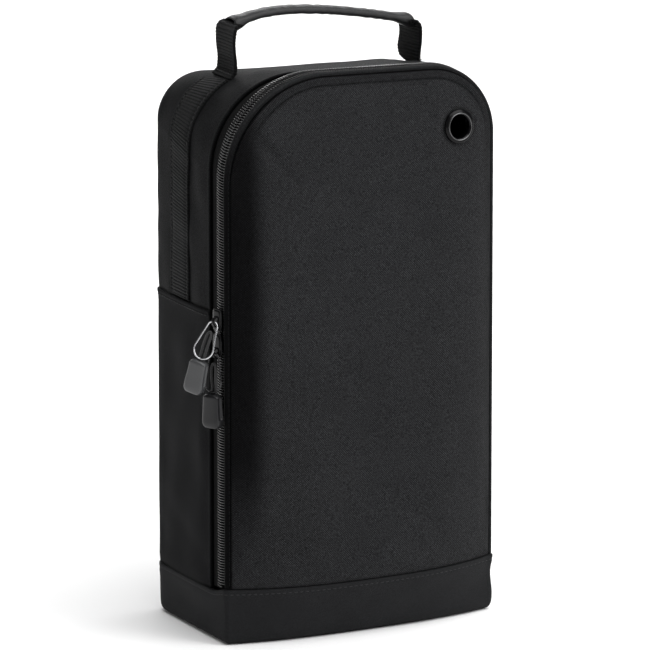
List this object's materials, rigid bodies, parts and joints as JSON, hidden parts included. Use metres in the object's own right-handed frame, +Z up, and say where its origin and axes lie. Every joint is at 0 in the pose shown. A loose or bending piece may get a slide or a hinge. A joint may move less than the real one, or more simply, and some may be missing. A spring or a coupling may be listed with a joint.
{
  "type": "shoe bag",
  "caption": "Tall soft shoe bag with a domed front that unzips round three sides, two ring-pull zipper sliders, a webbing handle with a padded grip and one round eyelet.",
  "frame": {"origin": "centre of the footprint on the underside of the base panel, on the floor", "axes": "+Z up, the zipped front faces -Y, +X to the right seen from the front"},
  "size_m": [0.2136, 0.1226, 0.3916],
  "materials": {
    "woven_fabric": "textured polyester weave, near black",
    "gusset_fabric": "plain polyester weave, near black",
    "smooth_fabric": "smooth coated polyester, near black",
    "webbing": "ribbed polypropylene webbing, black",
    "binding_tape": "seam binding tape, black",
    "zipper_tape": "herringbone zipper tape, black",
    "zipper_teeth": "coil zipper teeth, glossy black",
    "stiffener_board": "plain stiffener sheet, dark grey",
    "eyelet_metal": "black lacquered eyelet, semi gloss",
    "slider_metal": "black lacquered die casting",
    "pull_wire": "bright nickel-plated wire",
    "pull_cord": "braided cord, black",
    "moulded_tab": "satin moulded rubber, dark grey",
    "handle_filler": "foam rubber cord inside the grip"
  },
  "bodies": {
    "bag": {"back_panel": "woven_fabric", "back_seam_binding": "binding_tape", "upper_gusset": "gusset_fabric", "lower_side_left": "smooth_fabric", "lower_side_right": "smooth_fabric", "base_band": "smooth_fabric", "base_panel": "smooth_fabric", "base_board": "stiffener_board", "webbing_left": "webbing", "webbing_right": "webbing", "zipper_tape_body": "zipper_tape", "zipper_teeth_body": "zipper_teeth"},
    "flap": {"front_panel": "woven_fabric", "front_border": "gusset_fabric", "zipper_tape_flap": "zipper_tape", "zipper_teeth_flap": "zipper_teeth", "eyelet_flange": "eyelet_metal", "eyelet_washer": "eyelet_metal"},
    "slider_upper": {"slider_upper_body": "slider_metal", "slider_upper_bridge": "slider_metal"},
    "pull_upper": {"slider_upper_ring": "pull_wire", "slider_upper_cord": "pull_cord"},
    "tab_upper": {"slider_upper_tab": "moulded_tab"},
    "slider_lower": {"slider_lower_body": "slider_metal", "slider_lower_bridge": "slider_metal"},
    "pull_lower": {"slider_lower_ring": "pull_wire", "slider_lower_cord": "pull_cord"},
    "tab_lower": {"slider_lower_tab": "moulded_tab"},
    "handle_leg_left": {"handle_leg_left": "webbing"},
    "handle_leg_right": {"handle_leg_right": "webbing"},
    "handle_grip": {"handle_grip_sleeve": "smooth_fabric", "handle_grip_core": "handle_filler"}
  },
  "joints": [
    {"name": "flap_open", "type": "hinge", "parent": "bag", "child": "flap", "pos_m": [0, -0.0612, 0.0361], "axis": [1, 0, 0], "range_deg": [0, 95]},
    {"name": "slider_upper_travel", "type": "slide", "parent": "bag", "child": "slider_upper", "axis": [0, 0, 1], "range_m": [0, 0.085]},
    {"name": "slider_lower_travel", "type": "slide", "parent": "bag", "child": "slider_lower", "axis": [0, 0, -1], "range_m": [0, 0.135]},
    {"name": "pull_upper_swing", "type": "hinge", "parent": "slider_upper", "child": "pull_upper", "pos_m": [-0.09873, -0.03295, 0.2075], "axis": [-0.5163, 0.8263, 0.225], "range_deg": [0, 135]},
    {"name": "tab_upper_swing", "type": "hinge", "parent": "pull_upper", "child": "tab_upper", "pos_m": [-0.1089, -0.03324, 0.18521], "axis": [-0.5163, 0.8263, 0.225], "range_deg": [0, 80]},
    {"name": "pull_lower_sway", "type": "hinge", "parent": "slider_lower", "child": "pull_lower", "pos_m": [-0.09873, -0.03295, 0.1875], "axis": [0.9007, 0.4116, -0.1388], "range_deg": [0, 18]},
    {"name": "tab_lower_swing", "type": "hinge", "parent": "pull_lower", "child": "tab_lower", "pos_m": [-0.10253, -0.03279, 0.1633], "axis": [-0.4057, 0.9113, 0.0698], "range_deg": [0, 14]},
    {"name": "handle_sway", "type": "hinge", "parent": "bag", "child": "handle_leg_left", "pos_m": [-0.065, 0.02, 0.3573], "axis": [0, 1, 0], "range_deg": [-35, 35]},
    {"name": "handle_grip_level", "type": "hinge", "parent": "handle_leg_left", "child": "handle_grip", "pos_m": [-0.065, 0.02, 0.3813], "axis": [0, 1, 0], "range_deg": [-35, 35]},
    {"name": "handle_right_follow", "type": "hinge", "parent": "bag", "child": "handle_leg_right", "pos_m": [0.065, 0.02, 0.3573], "axis": [0, 1, 0], "range_deg": [-35, 35]}
  ],
  "couplings": [
    {"joint": "handle_grip_level", "follows": "handle_sway", "ratio": -1},
    {"joint": "handle_right_follow", "follows": "handle_sway", "ratio": 1}
  ]
}
